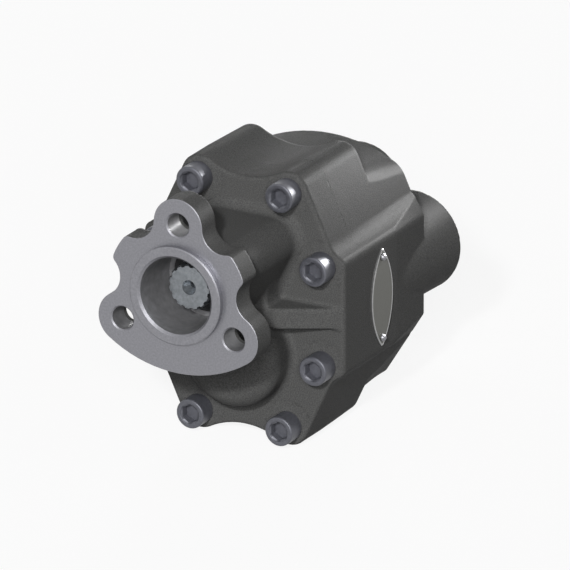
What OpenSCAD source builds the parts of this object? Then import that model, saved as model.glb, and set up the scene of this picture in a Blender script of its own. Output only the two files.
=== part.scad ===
// External gear pump with a three-bolt mounting flange and a splined drive shaft.
// X points right and Y points to the rear, seen from the flange, and Z points up.
// The origin is on the drive shaft's axis, in the mounting face.

/* [Gears] */
// Teeth on each gear
teeth = 13; // [12:1:14]
// Module of the gears
gear_module = 4.5; // [4.3:0.1:4.7]
// Width of the gear teeth
gear_w = 35; // [25:1:38]
// Diameter of the journals on both gear shafts
journal_d = 30; // [26:1:32]
// Length of each bearing bush
bush_l = 28; // [20:1:29]
// Wall of each bearing bush
bush_wall = 2.5; // [1.5:0.1:3]
// Thickness of each pressure plate
plate_t = 5; // [4:0.5:7]

/* [Drive spline] */
// Outer diameter of the spline
spline_d = 27.8; // [24:0.2:28]
// Number of spline teeth
spline_teeth = 15; // [12:1:18]
// Height of the spline teeth
spline_h = 1.5; // [1:0.1:2]
// Bevel on the teeth at the shaft's end
spline_bevel = 0.8; // [0.5:0.1:2]
// Distance from the mounting face back to the shaft's end
shaft_setback = 13.3; // [6:0.1:20]
// Mouth diameter of the centre hole in the shaft's end
centre_hole_d = 9; // [5:0.5:12]

/* [Mounting flange] */
// Diameter of the raised pilot
pilot_d = 60; // [56:1:62]
// Height of the pilot above the mounting face
pilot_h = 4; // [3:0.5:8]
// Thickness of the flange
flange_t = 17; // [14:1:22]
// Diameter of the flange's bolt circle
flange_pcd = 85; // [82:1:90]
// Diameter of the flange's bolt holes
flange_hole_d = 14; // [11:0.5:15]
// Radius of the lobe round each bolt hole
flange_lobe_r = 16; // [15:0.5:18]
// Radius of the scallops beside the lobes
scallop_r = 13.4; // [10:0.2:14]
// Radius of the flange between two scallops
flange_mid_r = 46; // [44:0.5:48]
// Distance from the drive axis to the centres of the scallops
scallop_at = 52; // [51:0.5:53]
// Height of the flange below the drive axis
flange_drop = 48.7; // [48:0.1:50]
// Diameter of the coupling pocket
pocket_d = 46.8; // [42:0.2:48]
// Depth of the coupling pocket behind the mounting face
pocket_depth = 32; // [28:1:36]

/* [Front cover] */
// Distance from the mounting face to the face under the screw heads
cover_front_y = 78; // [74:1:82]
// Thickness of the cover at the screws
cover_t = 24; // [20:1:30]
// Half width of the neck
neck_half_w = 36; // [32:1:38]
// Height of the neck's flat top above the drive axis
neck_top = 28; // [26:1:31]
// Height of the neck's flare onto the cover's face
flare_h = 7; // [3:1:9]
// Radius of the bulge over the driven shaft
bulge_r = 31.5; // [28:0.5:34]
// Height of the bulge above the cover's face
bulge_h = 21; // [14:1:24]
// Radius of the web between the neck and the bulge
web_r = 25; // [20:0.5:27]
// Thickness of the ribs that run out to both sides
rib_t = 12.8; // [8:0.2:16]
// Height of the ribs above the cover's face, next to the web
rib_h = 18.5; // [10:0.5:21]

/* [Body] */
// Length of the part of the body that carries the screw lobes
lobed_l = 45; // [42:1:50]
// Distance from the cover's joint back to the rear block's end
block_l = 80; // [76:1:86]
// Distance from a gear axis out to the screws round it
screw_ring_r = 52.1; // [51:0.1:54]
// Angle of the screws at the top and bottom, from the horizontal
end_screw_angle = 55.5; // [53:0.5:57]
// Radius of the lobe round each screw at the top and bottom
lobe_r = 12.4; // [11:0.1:13]
// Depth of the hollows at the top and bottom, below the ends of the screw lobes
hollow_depth = 7.59; // [5:0.01:10]
// Distance from the screws at the sides out to the flat sides
side_margin = 14.62; // [13:0.01:20]
// Half height of the flat sides that carry the nameplate
side_half_h = 31.5; // [28:0.5:32]
// Radius of the corners of the flat sides
side_corner_r = 6; // [3:0.5:7]
// Radius of the hollows between the screw lobes and the flat sides
waist_r = 17; // [12:0.5:30]
// Rounding of the lobes' rear ends
lobe_end_r = 6; // [3:0.5:8]
// Height of the rear block above the body's centre
block_half_h = 70.5; // [69:0.5:72]
// Taper of the rear block's sides
side_taper = 4.3; // [2:0.1:6]
// Distance from the body's centre to the axes of the ports
port_x = 37.6; // [35:0.1:40]
// Radius of the port bosses
port_boss_r = 30.6; // [27:0.1:31]
// Distance from the cover's joint to the port faces
port_face_l = 114.5; // [112:0.5:120]
// Diameter of the port threads
port_d = 33.2; // [26:0.1:34]
// Length of the port threads
port_l = 22; // [16:1:24]
// Diameter of the oil passages behind the ports
passage_d = 22; // [16:1:24]
// Radius of the bosses over the shafts' rear ends
shaft_boss_r = 27.3; // [25.5:0.1:29]
// Distance from the cover's joint to the ends of the shaft bosses
shaft_boss_l = 120; // [112:1:126]

/* [Screws and pins] */
// Thread diameter of the cover screws
screw_d = 12; // [10:1:12]
// Length of the cover screws under the head
screw_l = 55; // [48:1:60]
// Diameter of the screw heads
head_d = 18; // [17:0.5:20]
// Width across flats of the sockets in the heads
socket_w = 10; // [6:0.5:11]
// Diameter of the spot faces under the heads
spot_d = 30.6; // [26:0.2:32]
// Diameter of the dowel pins
dowel_d = 10; // [6:1:10]
// Length of the dowel pins
dowel_l = 22; // [14:1:26]

/* [Shaft seals] */
// Outer diameter of the shaft seals
seal_od = 41; // [38:0.5:42]
// Width of each shaft seal
seal_w = 7; // [5:0.5:8]
// Width of the spacer ring between the seals
spacer_w = 3; // [2:0.5:4]
// Thickness of the snap ring
snap_ring_t = 1.5; // [1:0.1:2]
// Wire diameter of the garter springs
garter_d = 1.6; // [1.2:0.1:1.8]

/* [Static seals] */
// Width of the seal between the cover and the body
body_seal_w = 2.6; // [2:0.1:3]
// Gap from the gear bores to that seal
body_seal_gap = 1.6; // [1:0.1:3]
// Width of the seals in the pressure plates
plate_seal_w = 2; // [1.5:0.1:2.5]
// Depth of the seals in the pressure plates
plate_seal_t = 2; // [1:0.1:3]

/* [Nameplate] */
// Length of the nameplate
nameplate_l = 60; // [50:1:64]
// Width of the nameplate
nameplate_w = 25; // [20:1:30]
// Thickness of the nameplate
nameplate_t = 1.2; // [0.6:0.1:2]
// Distance from the cover's joint to the middle of the nameplate
nameplate_y = 20; // [18:0.5:24]
// Distance between the two rivets
rivet_pitch = 50; // [40:1:54]
// Diameter of the rivet heads
rivet_d = 4.4; // [3:0.1:5]

/* [Fits] */
// Radial gap between a journal and its bush
bearing_gap = 0.03; // [0.02:0.01:0.08]
// Radial gap between the gear tips and their bores
tip_gap = 0.08; // [0.05:0.01:0.1]
// Gap at each face of a gear
face_gap = 0.04; // [0.02:0.01:0.08]
// Backlash between the teeth, measured on the pitch circle
backlash = 0.3; // [0.2:0.05:0.5]
// Gap round screws, pins and plates
fit_gap = 0.05; // [0.03:0.01:0.1]

/* [Hidden] */

$fn = 96;
EPS = 0.01;
cut = 1;

// Gear geometry
pressure_angle = 25;
centre_d = gear_module * teeth;
drop = centre_d / 2;
pitch_r = centre_d / 2;
tip_r = pitch_r + gear_module;
root_r = pitch_r - 1.25 * gear_module;
base_r = pitch_r * cos(pressure_angle);
bore_r = tip_r + tip_gap;
journal_r = journal_d / 2;
bush_r = journal_r + bush_wall;
flank_steps = 8;

// Places along the shafts
cover_back_y = cover_front_y + cover_t;
front_plate_y = cover_back_y + face_gap;
gear_y = front_plate_y + plate_t + face_gap;
rear_plate_y = gear_y + gear_w + face_gap;
chamber_end_y = rear_plate_y + plate_t + face_gap;
lobed_end_y = cover_back_y + lobed_l;
block_end_y = cover_back_y + block_l;
port_face_y = cover_back_y + port_face_l;
shaft_boss_y = cover_back_y + shaft_boss_l;
bush_setback = 2;
front_bush_y = cover_back_y - bush_setback - bush_l;
rear_bush_y = chamber_end_y + bush_setback;
journal_front_y = front_bush_y - 1;
journal_end_y = rear_bush_y + bush_l + 2;
shaft_room = 3;

// Seals in the neck
seal_r = seal_od / 2;
seal_bore_end_y = front_bush_y - 4;
inner_seal_y = seal_bore_end_y - seal_w;
spacer_y = inner_seal_y - spacer_w;
outer_seal_y = spacer_y - seal_w;
snap_ring_y = outer_seal_y - snap_ring_t - 0.1;
snap_groove_h = 1.3;
snap_ring_in = 2.2;
snap_gap = 16;
seal_land_r = 14;
lip_gap = 0.05;
pocket_r = pocket_d / 2;

// Screw places, seen from the front, with the body's centre at zero
side_screw_angle = 1.6;
screw_r = screw_d / 2;
screw_clear_r = screw_r + 0.5;
head_r = head_d / 2;
head_h = screw_d;
socket_depth = 6;
end_screw = [screw_ring_r * cos(end_screw_angle), drop + screw_ring_r * sin(end_screw_angle)];
side_screw = [screw_ring_r * cos(side_screw_angle), drop + screw_ring_r * sin(side_screw_angle)];
body_half_w = side_screw[0] + side_margin;
quadrants = [[1, 1], [-1, 1], [-1, -1], [1, -1]];
tap_depth = screw_l + 5;
dowel_at = (end_screw + side_screw) / 2;
dowels = [[1, 1], [-1, -1]];

// Seal grooves
body_seal_t = 2;
body_seal_r = bore_r + body_seal_gap;
plate_seal_r = bore_r - 1.5 - plate_seal_w;
plate_bore_gap = 0.3;
garter_r = seal_land_r + 2.6;
garter_seat = 1.7;
garter_back = 1.5;

// Rear bosses, shafts' details and the nameplate's place
shaft_boss_z = 25;
passage_x = 34;
pocket_in = 2;
pocket_half_h = 9;
spline_end_y = pocket_depth + 8;
centre_drill_r = 1.6;
plate_mid_y = cover_back_y + nameplate_y;
rivet_shank_r = 1.2;
rivet_shank_l = 6;

// The arc of a circle from one angle to another, as a list of points
function arc(c, r, a0, a1, step = 4) =
    let (n = max(1, ceil(abs(a1 - a0) / step)))
    [for (i = [0:n]) c + r * [cos(a0 + (a1 - a0) * i / n), sin(a0 + (a1 - a0) * i / n)]];

// The direction square to the straight line that touches two circles on their right-hand side
function tangent_angle(c1, r1, c2, r2) =
    let (a = atan2(c2[1] - c1[1], c2[0] - c1[0]) - acos(max(-1, (r1 - r2) / norm(c2 - c1))))
    a < -180 ? a + 360 : a;

function mirrored_x(points) = [for (i = [len(points) - 1:-1:0]) [-points[i][0], points[i][1]]];
function mirrored_z(points) = [for (i = [len(points) - 1:-1:0]) [points[i][0], -points[i][1]]];

// A convex outline round circles [x, z, r] on the right, from the lowest to the highest,
// and their mirror images on the left
function belt(circles) =
    let (
        n = len(circles),
        out = [for (i = [0:n - 2]) tangent_angle(
            [circles[i][0], circles[i][1]], circles[i][2],
            [circles[i + 1][0], circles[i + 1][1]], circles[i + 1][2])],
        half = [for (i = [0:n - 1]) each arc(
            [circles[i][0], circles[i][1]], circles[i][2],
            i == 0 ? -90 : out[i - 1], i == n - 1 ? 90 : out[i], 6)]
    ) concat(half, mirrored_x(half));

// Half of the body's outline in the first quadrant: side lobe, end lobe and hollow.
// The hollow is an arc that touches the lobes round the two end screws.
hollow_w = (pow(end_screw[0], 2) - pow(hollow_depth, 2)) / (2 * hollow_depth);
hollow_centre = [0, end_screw[1] + hollow_w];
hollow_r = hollow_w - lobe_r + hollow_depth;
hollow_angle = atan2(hollow_w, end_screw[0]);

// The slant is a straight line that touches the end lobe. A hollow joins it to the
// corner of the flat side. Both are worked out across the slant and along it.
slant_angle = 25;
slant_out = [cos(slant_angle), sin(slant_angle)];
slant_up = [-sin(slant_angle), cos(slant_angle)];
slant_reach = slant_out * end_screw + lobe_r;
side_corner = [body_half_w - side_corner_r, side_half_h];
waist_out = slant_reach + waist_r;
waist_up = slant_up * side_corner
    + sqrt(pow(side_corner_r + waist_r, 2) - pow(waist_out - slant_out * side_corner, 2));
waist_centre = waist_out * slant_out + waist_up * slant_up;
waist_angle = atan2(waist_centre[1] - side_corner[1], waist_centre[0] - side_corner[0]);
body_quarter = concat(
    arc(side_corner, side_corner_r, 0, waist_angle, 10),
    arc(waist_centre, waist_r, waist_angle + 180, slant_angle + 180, 6),
    arc(end_screw, lobe_r, slant_angle, 180 - hollow_angle, 8),
    arc(hollow_centre, hollow_r, -hollow_angle, -90, 6));
function without_first(points) = [for (i = [1:len(points) - 1]) points[i]];
body_outline = concat(
    body_quarter,
    without_first(mirrored_x(body_quarter)),
    -body_quarter,
    without_first(mirrored_z(body_quarter)));
body_half_h = end_screw[1] + lobe_r;

// The rear block's outlines. Where it meets the lobes it is flush with the slant.
// Its top is a crown, whose corners are rounder at the rear end.
crown_r = 96;
crown_at = block_half_h - crown_r;
shoulder_r = 16;
shoulder_z = 60;
shoulder_x = (slant_reach - slant_out[1] * shoulder_z) / slant_out[0];
shoulder = [shoulder_x, shoulder_z] - shoulder_r * slant_out;
rear_shoulder_angle = 64;
rear_shoulder_d = crown_r - shoulder_r;
block_foot_r = 6;
block_foot = [37.5, -block_half_h + block_foot_r];
rear_foot_in = 4.5;
rear_side_r = 4;
rear_side_half_h = side_half_h - 2;
block_front = [
    [block_foot[0], block_foot[1], block_foot_r],
    [side_corner[0], -side_corner[1], side_corner_r],
    [side_corner[0], side_corner[1], side_corner_r],
    [shoulder[0], shoulder[1], shoulder_r],
    [0, crown_at, crown_r]];
block_rear = [
    [block_foot[0] - rear_foot_in, block_foot[1] - 2, block_foot_r],
    [body_half_w - side_taper - rear_side_r, -rear_side_half_h, rear_side_r],
    [body_half_w - side_taper - rear_side_r, rear_side_half_h, rear_side_r],
    [rear_shoulder_d * cos(rear_shoulder_angle),
        crown_at + rear_shoulder_d * sin(rear_shoulder_angle), shoulder_r],
    [0, crown_at, crown_r]];

// The neck's outline is round below and has a flat top with round corners
neck_r = 28;
neck_corner_r = 15;
function neck_circles(grow) = [
    [0, 0, neck_r + grow],
    [neck_half_w - neck_corner_r, neck_top - neck_corner_r, neck_corner_r + grow]];

// The flange's outline is a chain of arcs that touch: circles [x, z, radius, side],
// where side is 1 for an arc that bulges out and -1 for one that hollows in
flange_corner_r = 4;
lobe_at = flange_pcd / 2;
scallop_reach = flange_lobe_r + scallop_r;
scallop_swing = acos((pow(lobe_at, 2) + pow(scallop_at, 2) - pow(scallop_reach, 2))
    / (2 * lobe_at * scallop_at));
corner_at = flange_mid_r - flange_corner_r;
corner_swing = acos((pow(scallop_at, 2) + pow(corner_at, 2) - pow(scallop_r + flange_corner_r, 2))
    / (2 * scallop_at * corner_at));
foot_k = flange_drop - flange_lobe_r - lobe_at / 2;
foot_w = (pow(lobe_at * cos(30), 2) - pow(foot_k, 2)) / (2 * foot_k);
foot_centre = foot_w - lobe_at / 2;
function polar(d, angle) = [d * cos(angle), d * sin(angle)];
flange_chain = [
    [[0, foot_centre], foot_centre + flange_drop, 1],
    [polar(lobe_at, -30), flange_lobe_r, 1],
    [polar(scallop_at, scallop_swing - 30), scallop_r, -1],
    [polar(corner_at, scallop_swing - 30 + corner_swing), flange_corner_r, 1],
    [[0, 0], flange_mid_r, 1],
    [polar(corner_at, 90 - scallop_swing - corner_swing), flange_corner_r, 1],
    [polar(scallop_at, 90 - scallop_swing), scallop_r, -1],
    [polar(lobe_at, 90), flange_lobe_r, 1]];

// The angle on circle a at which it touches circle b
function touch_angle(a, b) =
    let (d = b[0] - a[0], inside = a[2] == b[2] && a[1] < b[1])
    atan2(d[1], d[0]) + (inside ? 180 : 0);
function turned(from, to, side) =
    side > 0 ? (to < from ? turned(from, to + 360, side) : to)
             : (to > from ? turned(from, to - 360, side) : to);
function chain_points(chain) =
    let (n = len(chain))
    [for (i = [0:n - 1])
        let (
            start = i == 0 ? -90 : touch_angle(chain[i], chain[i - 1]),
            raw_end = i == n - 1 ? 90 : touch_angle(chain[i], chain[i + 1]),
            end = turned(start, raw_end, chain[i][2])
        )
        each arc(chain[i][0], chain[i][1], start, end > start + 300 ? end - 360 : end, 5)];
flange_half = chain_points(flange_chain);

// Extrudes an outline drawn in X and Z from one place on the Y axis to another
module along_y(y0, y1) {
    translate([0, y1, 0]) rotate([90, 0, 0]) linear_extrude(y1 - y0) children();
}

// A round bar or bore along Y
module rod(x, z, r, y0, y1) {
    translate([x, y1, z]) rotate([90, 0, 0]) cylinder(r = r, h = y1 - y0);
}

// A ring along Y
module ring(x, z, r_out, r_in, y0, y1) {
    difference() {
        rod(x, z, r_out, y0, y1);
        rod(x, z, r_in, y0 - cut, y1 + cut);
    }
}

// A profile of radius and place, turned round the axis through x and z
module turned_at(x, z) {
    translate([x, 0, z]) rotate([-90, 0, 0]) rotate_extrude() children();
}

// The figure of eight round both gear axes
module eight(r) {
    circle(r);
    translate([0, -centre_d]) circle(r);
}

module eight_ring(r_out, r_in) {
    difference() {
        eight(r_out);
        eight(r_in);
    }
}

// Copies its children to all eight screws
module at_screws() {
    for (q = quadrants, p = [end_screw, side_screw])
        translate([q[0] * p[0], 0, q[1] * p[1] - drop]) children();
}

module at_dowels() {
    for (q = dowels) translate([q[0] * dowel_at[0], 0, q[1] * dowel_at[1] - drop]) children();
}

// The outline of cover and body, drawn round the body's centre
module body_prism(y0, y1) {
    along_y(y0, y1) translate([0, -drop]) polygon(body_outline);
}

// Front cover: flange, neck, bulge and ribs in one casting

module cover_neck() {
    along_y(0, cover_front_y + cut) polygon(belt(neck_circles(0)));
    hull() {
        along_y(cover_front_y - flare_h, cover_front_y - flare_h + EPS)
            polygon(belt(neck_circles(0)));
        along_y(cover_front_y, cover_front_y + EPS) polygon(belt(neck_circles(flare_h)));
    }
}

module cover_bulge() {
    edge_r = 9;
    foot_r = 5;
    top_y = cover_front_y - bulge_h;
    turned_at(0, -centre_d) polygon(concat(
        [[0, cover_front_y + cut], [0, top_y]],
        arc([bulge_r - edge_r, top_y + edge_r], edge_r, -90, 0, 10),
        arc([bulge_r + foot_r, cover_front_y - foot_r], foot_r, 180, 90, 15),
        [[bulge_r + foot_r, cover_front_y + cut]]));
}

module cover_web() {
    along_y(cover_front_y - rib_h, cover_front_y + cut)
        polygon(belt([[0, -centre_d, web_r], [0, 0, web_r]]));
}

module cover_ribs() {
    outer_x = body_half_w - 2.5;
    inner_x = 31;
    top_y = cover_front_y - rib_h;
    for (side = [0, 1]) mirror([side, 0, 0]) translate([0, 0, -drop - rib_t / 2])
        linear_extrude(rib_t) polygon([
            [0, cover_front_y + cut], [0, top_y], [inner_x, top_y],
            [outer_x, cover_front_y], [outer_x, cover_front_y + cut]]);
}

module front_cover() color("dimgray") difference() {
    union() {
        difference() {
            union() {
                body_prism(cover_front_y, cover_back_y);
                cover_neck();
                cover_bulge();
                cover_web();
                cover_ribs();
            }
            at_screws() rod(0, 0, spot_d / 2, cover_front_y - head_h * 2, cover_front_y);
        }
        along_y(0, flange_t) polygon(concat(flange_half, mirrored_x(flange_half)));
        rod(0, 0, pilot_d / 2, -pilot_h, cut);
    }
    rod(0, 0, pocket_r, -pilot_h - cut, pocket_depth);
    translate([0, -pilot_h - EPS, 0]) rotate([-90, 0, 0])
        cylinder(r1 = pocket_r + 1.6, r2 = pocket_r, h = 1.6);
    rod(0, 0, seal_r, pocket_depth - cut, seal_bore_end_y);
    rod(0, 0, seal_r + snap_groove_h, snap_ring_y - 0.1, outer_seal_y);
    rod(0, 0, journal_r + 1, seal_bore_end_y - cut, front_bush_y + cut);
    rod(0, 0, bush_r, front_bush_y, cover_back_y + cut);
    rod(0, -centre_d, bush_r, front_bush_y, cover_back_y + cut);
    rod(0, -centre_d, journal_r + 1, journal_front_y - shaft_room + 1, front_bush_y + cut);
    for (a = [90, -30, 210])
        rod(lobe_at * cos(a), lobe_at * sin(a), flange_hole_d / 2, -cut, flange_t + cut);
    at_screws() rod(0, 0, screw_clear_r, cover_front_y - cut, cover_back_y + cut);
    at_dowels() rod(0, 0, dowel_d / 2, cover_back_y - dowel_l / 2, cover_back_y + cut);
    along_y(cover_back_y - body_seal_t, cover_back_y + cut)
        eight_ring(body_seal_r + body_seal_w, body_seal_r);
}

// Body: gear chamber, rear bearings and ports in one casting

// The length that carries the screw lobes. Its outline shrinks from ring to ring towards
// the end, which rounds the rear edge. A ring is a place along Y and an inset.
module lobed_length(round_start_y) {
    steps = 4;
    rings = concat([[cover_back_y, 0]], [for (i = [0:steps])
        [round_start_y + lobe_end_r * sin(90 * i / steps), lobe_end_r * (1 - cos(90 * i / steps))]]);
    n = len(body_outline);
    last = len(rings) - 1;
    polyhedron(
        points = [for (r = rings, p = body_outline)
            [p[0] * (1 - r[1] / body_half_w), r[0], p[1] * (1 - r[1] / body_half_h) - drop]],
        faces = concat(
            [[for (i = [n - 1:-1:0]) i], [for (i = [0:n - 1]) last * n + i]],
            [for (k = [0:last - 1], i = [0:n - 1])
                [k * n + i, k * n + (i + 1) % n, (k + 1) * n + (i + 1) % n]],
            [for (k = [0:last - 1], i = [0:n - 1])
                [k * n + i, (k + 1) * n + (i + 1) % n, (k + 1) * n + i]]));
}

module body_shell() {
    round_start_y = lobed_end_y - lobe_end_r;
    lobed_length(round_start_y);
    hull() {
        along_y(round_start_y, round_start_y + EPS) translate([0, -drop])
            polygon(belt(block_front));
        along_y(block_end_y - EPS, block_end_y) translate([0, -drop])
            polygon(belt(block_rear));
    }
    for (side = [-1, 1]) {
        rod(side * port_x, -drop, port_boss_r, lobed_end_y, port_face_y);
        rod(0, -drop + side * shaft_boss_z, shaft_boss_r, lobed_end_y, shaft_boss_y);
    }
}

module pump_body() color("dimgray") difference() {
    body_shell();
    along_y(cover_back_y - cut, chamber_end_y) eight(bore_r);
    for (z = [0, -centre_d]) {
        rod(0, z, bush_r, chamber_end_y - cut, rear_bush_y + bush_l);
        rod(0, z, journal_r + 1, chamber_end_y, journal_end_y + shaft_room);
    }
    for (side = [-1, 1]) {
        rod(side * passage_x, -drop, passage_d / 2, gear_y + pocket_in, port_face_y - port_l + cut);
        rod(side * port_x, -drop, port_d / 2, port_face_y - port_l, port_face_y + cut);
    }
    translate([-passage_x, gear_y + pocket_in, -drop - pocket_half_h])
        cube([2 * passage_x, gear_w - 2 * pocket_in, 2 * pocket_half_h]);
    at_screws() rod(0, 0, screw_r, cover_back_y - cut, cover_front_y + tap_depth);
    at_dowels() rod(0, 0, dowel_d / 2, cover_back_y - cut, cover_back_y + dowel_l / 2 + 1);
    for (side = [-1, 1]) translate([0, plate_mid_y, side * rivet_pitch / 2 - drop])
        rod_x(rivet_shank_r, body_half_w - rivet_shank_l, body_half_w + cut);
}

// Screws and pins

module cover_screw() {
    shank_r = screw_r - fit_gap;
    difference() {
        union() {
            rod(0, 0, head_r, cover_front_y - head_h, cover_front_y);
            rod(0, 0, shank_r, cover_front_y - cut, cover_front_y + screw_l);
        }
        rotate([90, 0, 0]) translate([0, 0, head_h - cover_front_y - socket_depth])
            cylinder(d = socket_w / cos(30), h = socket_depth + cut, $fn = 6);
    }
}

module cover_screws() color("slategray") at_screws() cover_screw();

module dowel_pins() color("silver")
    at_dowels() rod(0, 0, dowel_d / 2, cover_back_y - dowel_l / 2, cover_back_y + dowel_l / 2);

// Gears and shafts

function involute_angle(r) =
    let (a = acos(min(1, base_r / r)))
    tan(a) * 180 / PI - a;

half_tooth = 90 / teeth - backlash / 4 / pitch_r * 180 / PI + involute_angle(pitch_r);

// One tooth's points, from its right-hand root round its tip to its left-hand root
function tooth_points(mid) =
    let (
        right = [for (i = [0:flank_steps])
            let (r = base_r + (tip_r - base_r) * i / flank_steps)
            polar(r, mid - half_tooth + involute_angle(r))],
        left = [for (i = [flank_steps:-1:0])
            let (r = base_r + (tip_r - base_r) * i / flank_steps)
            polar(r, mid + half_tooth - involute_angle(r))]
    ) concat([polar(root_r, mid - half_tooth)], right, left, [polar(root_r, mid + half_tooth)]);

module gear_outline(first) {
    polygon([for (i = [0:teeth - 1]) each tooth_points(first + 360 * i / teeth)]);
}

module spline_outline() {
    root = spline_d / 2 - spline_h;
    pitch = 360 / spline_teeth;
    polygon([for (i = [0:spline_teeth - 1]) each [
        polar(root, pitch * (i - 0.32)), polar(spline_d / 2, pitch * (i - 0.19)),
        polar(spline_d / 2, pitch * (i + 0.19)), polar(root, pitch * (i + 0.32))]]);
}

// The spline's teeth, bevelled where the coupling sleeve slides on
module spline() {
    bevelled_r = spline_d / 2 - spline_bevel;
    intersection() {
        along_y(shaft_setback, spline_end_y) spline_outline();
        turned_at(0, 0) polygon([
            [0, shaft_setback - EPS], [bevelled_r - EPS, shaft_setback - EPS],
            [spline_d / 2 + cut, shaft_setback + spline_bevel + cut],
            [spline_d / 2 + cut, spline_end_y + cut], [0, spline_end_y + cut]]);
    }
}

module drive_gear_shaft() color("lightsteelblue") difference() {
    union() {
        spline();
        rod(0, 0, seal_land_r, spline_end_y, journal_front_y + cut);
        rod(0, 0, journal_r, journal_front_y, journal_end_y);
        along_y(gear_y, gear_y + gear_w) gear_outline(-90);
    }
    translate([0, shaft_setback - EPS, 0]) rotate([-90, 0, 0])
        cylinder(r1 = centre_hole_d / 2, r2 = 0.1, h = centre_hole_d / 2 / tan(30));
    rod(0, 0, centre_drill_r, shaft_setback - cut, shaft_setback + centre_hole_d);
}

module driven_gear_shaft() color("lightsteelblue") translate([0, 0, -centre_d]) {
    rod(0, 0, journal_r, journal_front_y, journal_end_y);
    along_y(gear_y, gear_y + gear_w) gear_outline(90 + 180 / teeth);
}

// Bearings and pressure plates

module bush(z, y) {
    ring(0, z, bush_r, journal_r + bearing_gap, y, y + bush_l);
}

module front_drive_bush() color("darkgoldenrod") bush(0, front_bush_y);
module front_driven_bush() color("darkgoldenrod") bush(-centre_d, front_bush_y);
module rear_drive_bush() color("darkgoldenrod") bush(0, rear_bush_y);
module rear_driven_bush() color("darkgoldenrod") bush(-centre_d, rear_bush_y);

// The seal and its backup lie in one groove in the plate's outer face
module plate_groove(y0, y1) {
    along_y(y0, y1) eight_ring(plate_seal_r + plate_seal_w, plate_seal_r - plate_seal_w);
}

module plain_plate(y) {
    difference() {
        along_y(y, y + plate_t) eight(bore_r - fit_gap);
        for (z = [0, -centre_d])
            rod(0, z, journal_r + plate_bore_gap, y - cut, y + plate_t + cut);
    }
}

module front_pressure_plate() color("peru") difference() {
    plain_plate(front_plate_y);
    plate_groove(front_plate_y - cut, front_plate_y + plate_seal_t);
}

module rear_pressure_plate() color("peru") difference() {
    plain_plate(rear_plate_y);
    plate_groove(rear_plate_y + plate_t - plate_seal_t, rear_plate_y + plate_t + cut);
}

module plate_seal(y0, y1) along_y(y0, y1) eight_ring(plate_seal_r + plate_seal_w, plate_seal_r);
module plate_backup(y0, y1) along_y(y0, y1) eight_ring(plate_seal_r, plate_seal_r - plate_seal_w);

module front_plate_seal() color("black") plate_seal(cover_back_y, front_plate_y + plate_seal_t);
module front_plate_backup() color("ivory") plate_backup(cover_back_y, front_plate_y + plate_seal_t);
module rear_plate_seal() color("black")
    plate_seal(rear_plate_y + plate_t - plate_seal_t, chamber_end_y);
module rear_plate_backup() color("ivory")
    plate_backup(rear_plate_y + plate_t - plate_seal_t, chamber_end_y);

module body_seal() color("black")
    along_y(cover_back_y - body_seal_t, cover_back_y)
        eight_ring(body_seal_r + body_seal_w, body_seal_r);

// Shaft seals

module shaft_seal(y) {
    case_t = 2.4;
    lip_r = seal_land_r + lip_gap;
    turned_at(0, 0) polygon([
        [seal_r, y], [seal_r, y + seal_w], [seal_r - case_t, y + seal_w],
        [seal_r - case_t, y + case_t], [lip_r + case_t, y + case_t],
        [lip_r + garter_seat, y + seal_w - case_t], [lip_r + 0.6, y + seal_w - 1.6],
        [lip_r, y + seal_w - 2.2], [lip_r + 1, y]]);
}

module garter_spring(y) {
    turned_at(0, 0)
        translate([garter_r, y + seal_w - garter_back]) circle(garter_d / 2, $fn = 32);
}

module outer_shaft_seal() color("black") shaft_seal(outer_seal_y);
module inner_shaft_seal() color("black") shaft_seal(inner_seal_y);
module outer_garter_spring() color("silver") garter_spring(outer_seal_y);
module inner_garter_spring() color("silver") garter_spring(inner_seal_y);

module seal_spacer() color("gray")
    ring(0, 0, seal_r, seal_land_r + 1.5, spacer_y, spacer_y + spacer_w);

module seal_snap_ring() color("gray") difference() {
    ring(0, 0, seal_r + snap_groove_h, seal_r - snap_ring_in, snap_ring_y, snap_ring_y + snap_ring_t);
    translate([0, snap_ring_y - cut, -snap_gap / 2])
        cube([seal_r * 2, snap_ring_t + 2 * cut, snap_gap]);
}

// Nameplate

// A round bar or bore along X, from one place to another
module rod_x(r, x0, x1) {
    translate([x0, 0, 0]) rotate([0, 90, 0]) cylinder(r = r, h = x1 - x0);
}

module nameplate() color("rosybrown") {
    side_r = (pow(nameplate_l / 2, 2) + pow(nameplate_w / 2, 2)) / nameplate_w;
    difference() {
        translate([body_half_w, plate_mid_y, -drop]) rotate([90, 0, 90])
            linear_extrude(nameplate_t) intersection_for(side = [-1, 1])
                translate([side * (side_r - nameplate_w / 2), 0]) circle(side_r, $fn = 180);
        for (side = [-1, 1]) translate([0, plate_mid_y, side * rivet_pitch / 2 - drop])
            rod_x(rivet_shank_r, body_half_w - cut, body_half_w + nameplate_t + cut);
    }
}

module nameplate_rivets() color("silver")
    for (side = [-1, 1]) translate([0, plate_mid_y, side * rivet_pitch / 2 - drop]) {
        rod_x(rivet_shank_r, body_half_w - rivet_shank_l, body_half_w + nameplate_t + EPS);
        translate([body_half_w + nameplate_t, 0, 0]) rotate([0, 90, 0]) rotate_extrude()
            polygon(concat([[0, 0]], arc([0, 0], rivet_d / 2, 0, 90, 10)));
    }

front_cover();
pump_body();
cover_screws();
dowel_pins();
drive_gear_shaft();
driven_gear_shaft();
front_pressure_plate();
rear_pressure_plate();
front_plate_seal();
rear_plate_seal();
front_plate_backup();
rear_plate_backup();
front_drive_bush();
front_driven_bush();
rear_drive_bush();
rear_driven_bush();
outer_shaft_seal();
inner_shaft_seal();
outer_garter_spring();
inner_garter_spring();
seal_spacer();
seal_snap_ring();
body_seal();
nameplate();
nameplate_rivets();
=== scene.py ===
from math import acos, atan2, cos, degrees, hypot, pi, radians, sin, sqrt

import bmesh
import bpy
import numpy as np
from mathutils import Matrix, Vector, geometry


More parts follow.
